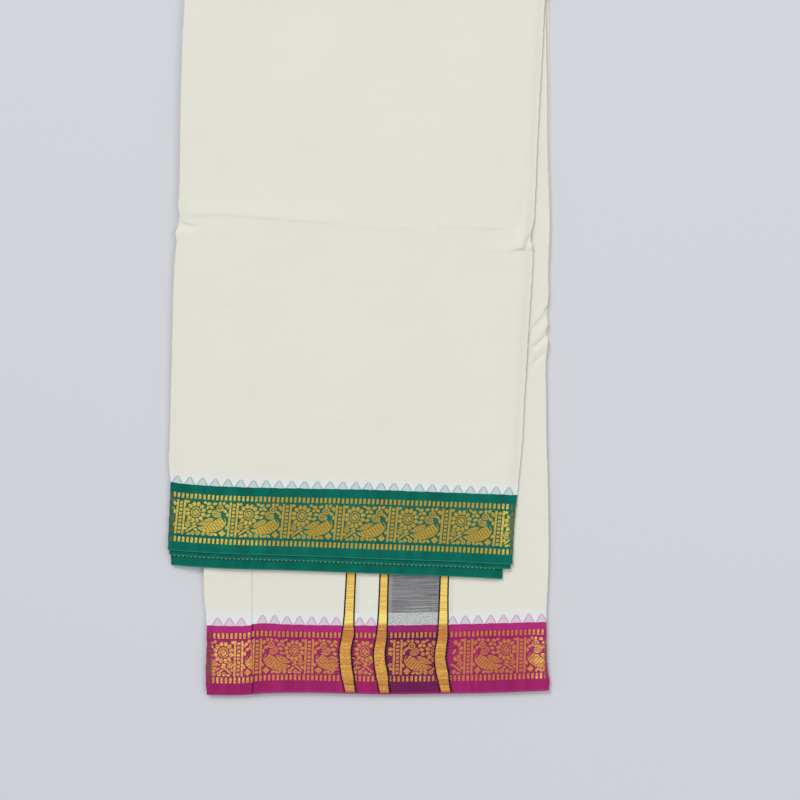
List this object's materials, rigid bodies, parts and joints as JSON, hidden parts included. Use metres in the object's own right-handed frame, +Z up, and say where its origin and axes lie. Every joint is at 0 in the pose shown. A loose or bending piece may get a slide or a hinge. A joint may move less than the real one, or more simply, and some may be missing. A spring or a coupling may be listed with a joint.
{
  "type": "dhoti cloth",
  "caption": "Long cream cotton wrap cloth with a green and a magenta woven border, pleated into a strip and folded over once to lie flat.",
  "frame": {"origin": "centre of the bounding box of the folded cloth, on the surface that it lies on", "axes": "+X across the strip towards the viewer's right, +Y along the strip towards the fold, +Z up from the underside"},
  "size_m": [0.352, 0.6934, 0.0125],
  "materials": {
    "cream_cotton": "matt plain-weave cotton, off-white with a green cast",
    "green_border": "ribbed border weave with gold metallic thread, slightly shiny",
    "magenta_border": "ribbed border weave with gold metallic thread, slightly shiny"
  },
  "bodies": {
    "root": {"outer_layer_ground": "cream_cotton", "outer_layer_green_border": "green_border", "outer_layer_magenta_border": "magenta_border", "inner_layer_ground": "cream_cotton", "inner_layer_green_border": "green_border", "inner_layer_magenta_border": "magenta_border", "hidden_layers_ground": "cream_cotton", "hidden_layers_green_border": "green_border", "hidden_layers_magenta_border": "magenta_border"}
  },
  "joints": []
}
